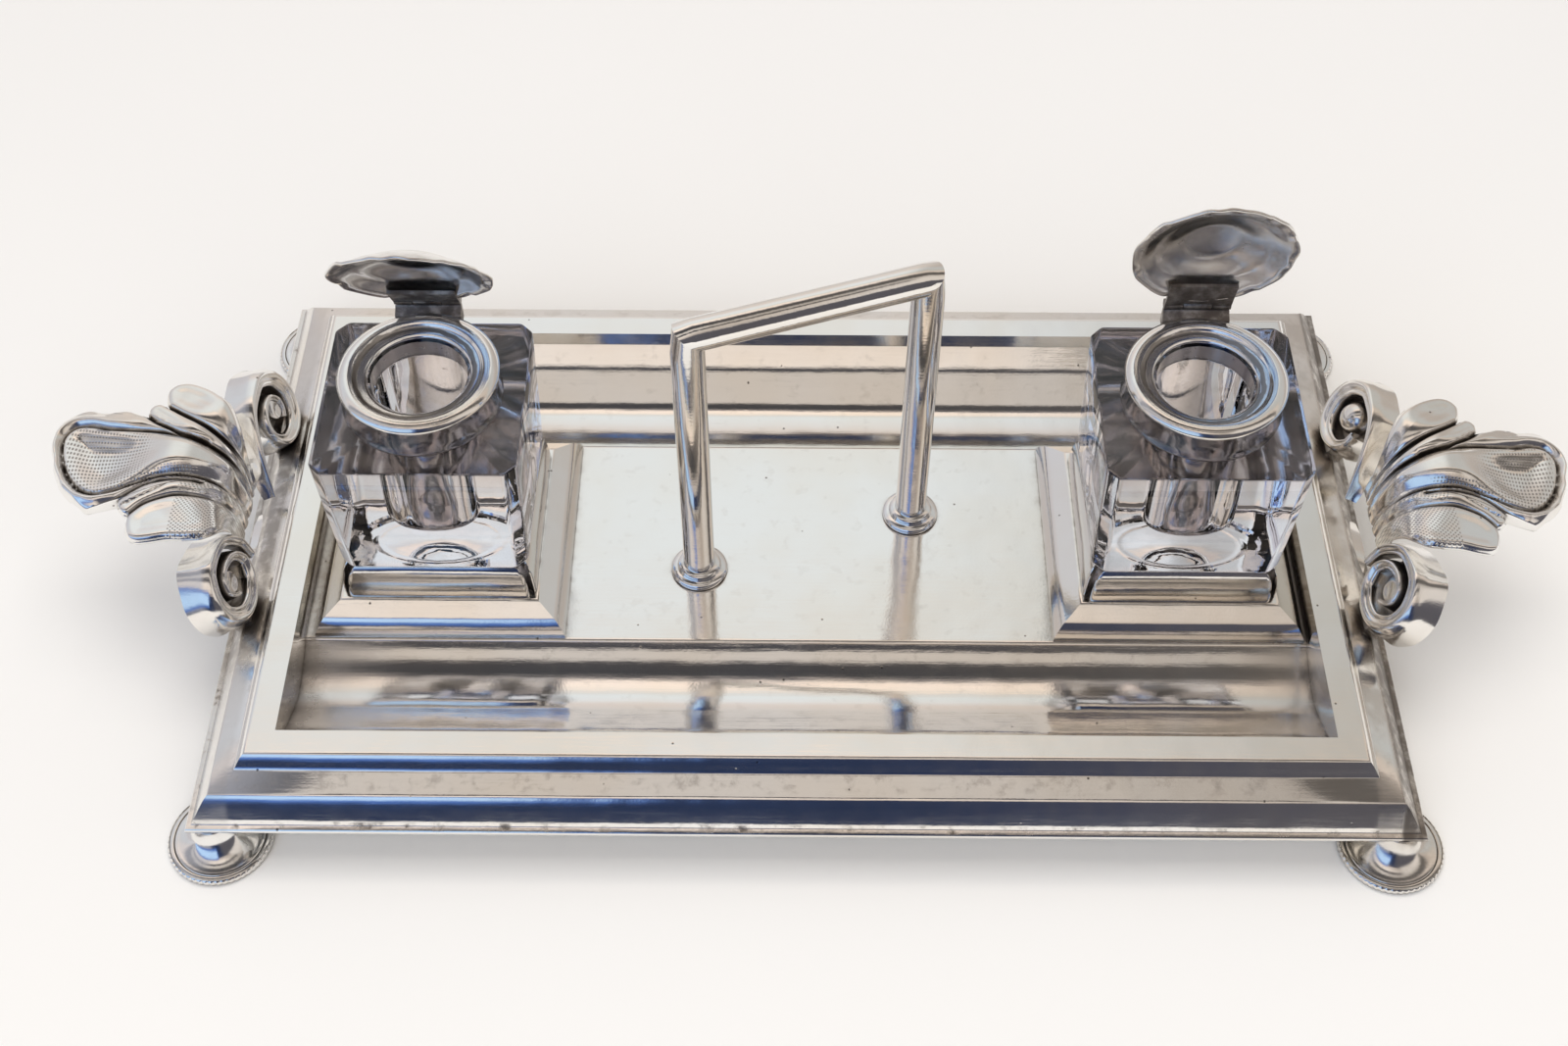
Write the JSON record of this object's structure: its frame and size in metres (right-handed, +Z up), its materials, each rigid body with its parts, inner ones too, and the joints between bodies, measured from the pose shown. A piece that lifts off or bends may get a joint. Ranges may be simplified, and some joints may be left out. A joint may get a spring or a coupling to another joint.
{
  "type": "desk inkstand",
  "caption": "Desk inkstand: moulded plated tray on disc feet with pen troughs, square glass ink bottles with hinged domed lids, a carry handle and leaf-and-scroll side handles.",
  "frame": {"origin": "on the table, under the centre of the tray", "axes": "+Z up, -Y to the front of the stand, +X along the tray to the right-hand bottle"},
  "size_m": [0.3855, 0.1908, 0.1251],
  "materials": {
    "plate": "polished",
    "rod": "polished",
    "cast": "gloss",
    "cap": "polished",
    "hinge": "satin",
    "foot": "gloss",
    "glass": "polished"
  },
  "bodies": {
    "tray": {"tray_border": "plate", "tray_pan": "plate", "plinth_left": "plate", "plinth_right": "plate", "rail_left_front": "plate", "rail_left_back": "plate", "rail_left_outer": "plate", "rail_left_inner": "plate", "rail_right_front": "plate", "rail_right_back": "plate", "rail_right_outer": "plate", "rail_right_inner": "plate", "carry_handle": "rod", "flange_left": "rod", "flange_right": "rod", "foot_front_left": "foot", "foot_front_right": "foot", "foot_back_left": "foot", "foot_back_right": "foot", "side_handle_left": "cast", "side_handle_right": "cast"},
    "bottle_left_set": {"bottle_left": "glass", "collar_left": "cap", "hinge_plate_left": "hinge", "hinge_pin_left": "hinge"},
    "lid_left_set": {"lid_left": "cap", "lid_plate_left": "hinge"},
    "bottle_right_set": {"bottle_right": "glass", "collar_right": "cap", "hinge_plate_right": "hinge", "hinge_pin_right": "hinge"},
    "lid_right_set": {"lid_right": "cap", "lid_plate_right": "hinge"}
  },
  "joints": [
    {"name": "bottle_left_lift", "type": "slide", "parent": "tray", "child": "bottle_left_set", "axis": [0, 0, 1], "range_m": [0, 0.06]},
    {"name": "lid_left_hinge", "type": "hinge", "parent": "bottle_left_set", "child": "lid_left_set", "pos_m": [-0.0942, 0.022, 0.0845], "axis": [-1, 0, 0], "range_deg": [-59, 46]},
    {"name": "bottle_right_lift", "type": "slide", "parent": "tray", "child": "bottle_right_set", "axis": [0, 0, 1], "range_m": [0, 0.06]},
    {"name": "lid_right_hinge", "type": "hinge", "parent": "bottle_right_set", "child": "lid_right_set", "pos_m": [0.0959, 0.022, 0.0845], "axis": [-1, 0, 0], "range_deg": [-77, 28]}
  ]
}
